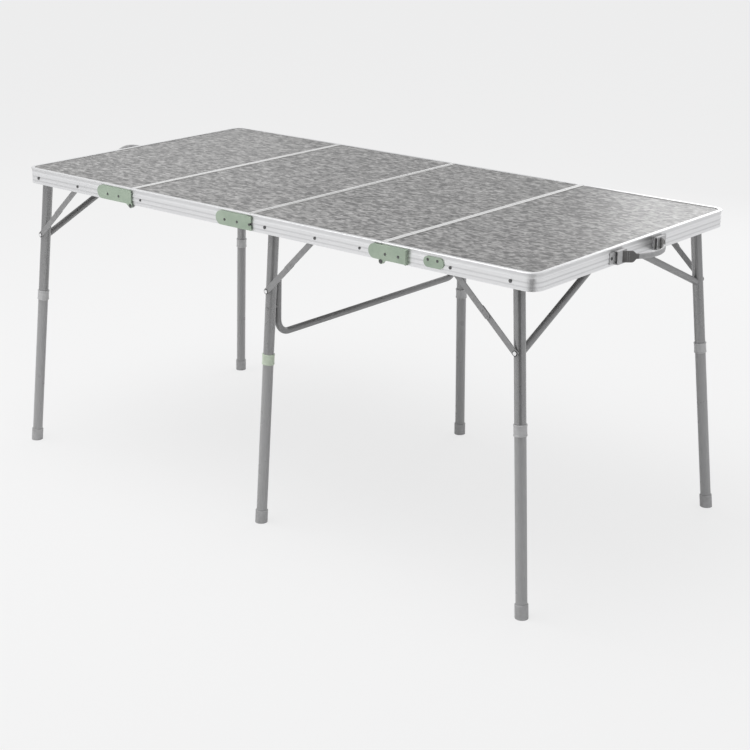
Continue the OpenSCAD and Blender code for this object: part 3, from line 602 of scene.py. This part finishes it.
def stitches(name, mirrored):
    """Sewing thread on the strap's outside: short raised dashes in two rows across each end.

    Every dash is the same small ellipsoid, half sunk in the band, on a grid of turns and heights.
    """
    around, along = 8, 6
    lat = np.linspace(-np.pi / 2, np.pi / 2, along)[:, None]
    lon = np.linspace(0, 2 * np.pi, around, endpoint=False)[None, :]
    unit = np.stack([np.sin(lat) + 0 * lon, np.cos(lat) * np.cos(lon), np.cos(lat) * np.sin(lon)],
                    axis=-1)
    offset = unit * STITCH
    turns = np.arcsin(np.array(ROWS) / ARC_RADIUS)
    turn, level = np.meshgrid(np.concatenate([-turns, turns]),
                              np.linspace(-ROW_TOP, ROW_TOP, STITCHES), indexing="ij")
    turn, level = turn.reshape(-1, 1, 1), level.reshape(-1, 1, 1)
    places = arc_points(turn + offset[..., 1] / ARC_RADIUS,
                        ARC_RADIUS - STITCH_SUNK + offset[..., 2], level + offset[..., 0])
    i, j = np.meshgrid(np.arange(along - 1), np.arange(around), indexing="ij")
    k = (j + 1) % around
    dash = np.stack([i * around + j, i * around + k, (i + 1) * around + k, (i + 1) * around + j],
                    axis=-1).reshape(-1, 4)
    starts = np.arange(turn.size).reshape(-1, 1, 1) * (around * along)
    faces = (starts + dash).reshape(-1, 4).tolist()
    return new_piece(name, places.reshape(-1, 3), faces, mirrored, len(faces))


strap_web, nodes, links, shader = principled("strap_web", 0.8)
shader.inputs["Sheen Weight"].default_value = 0.3
place = nodes.new("ShaderNodeTexCoord")
ribs = nodes.new("ShaderNodeTexWave")
ribs.bands_direction = "Y"
ribs.inputs["Scale"].default_value = 2.6
ribs.inputs["Distortion"].default_value = 0.4
links.new(place.outputs["UV"], ribs.inputs["Vector"])
picks = nodes.new("ShaderNodeTexWave")
picks.bands_direction = "X"
picks.inputs["Scale"].default_value = 2.4
picks.inputs["Distortion"].default_value = 0.5
links.new(place.outputs["UV"], picks.inputs["Vector"])
weave = nodes.new("ShaderNodeMath")
weave.operation = "MULTIPLY"
links.new(ribs.outputs["Fac"], weave.inputs[0])
links.new(picks.outputs["Fac"], weave.inputs[1])
thread = ramp(nodes, links, weave.outputs[0],
              [(0.1, (0.13, 0.127, 0.125)), (0.8, (0.23, 0.225, 0.22))])
fade = ramp(nodes, links, object_noise(nodes, links, 60, 4), [(0.3, 0.85), (0.7, 1.0)])
links.new(mix_colour(nodes, links, 1.0, thread, fade, "MULTIPLY"), shader.inputs["Base Color"])
bump(nodes, links, shader, weave.outputs[0], 0.5, 0.0003)

sleeve_rubber = mottled("sleeve_rubber", 0.42, (70, 4, 0.36, 0.43), gloss=(40, 3, 0.36, 0.5),
                        grain=(1400, 2, 0.12, 0.0002))
sewing_thread = mottled("sewing_thread", 0.6, (2500, 2, 0.30, 0.42))

for node, body, mirrored in (("handle_4", "panel_4", False), ("handle_1", "panel_1", True)):
    for make, material, label in ((webbing, strap_web, "webbing"),
                                  (sleeve, sleeve_rubber, "sleeve"),
                                  (stitches, sewing_thread, "stitches")):
        piece = make(f"{node}_{label}", mirrored)
        piece.data.materials.append(material)
        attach(piece, body)
        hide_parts(node)

clip_plastic = mottled("clip_plastic", 0.38, (90, 4, 0.50, 0.60), gloss=(35, 3, 0.32, 0.46),
                       grain=(1500, 2, 0.1, 0.0002))
dress(clip_plastic, ["clips_1", "clips_4"])

# ---------------------------------------------------------------- colour
# Colours are shown as they are written.

bpy.context.scene.view_settings.view_transform = "Standard"
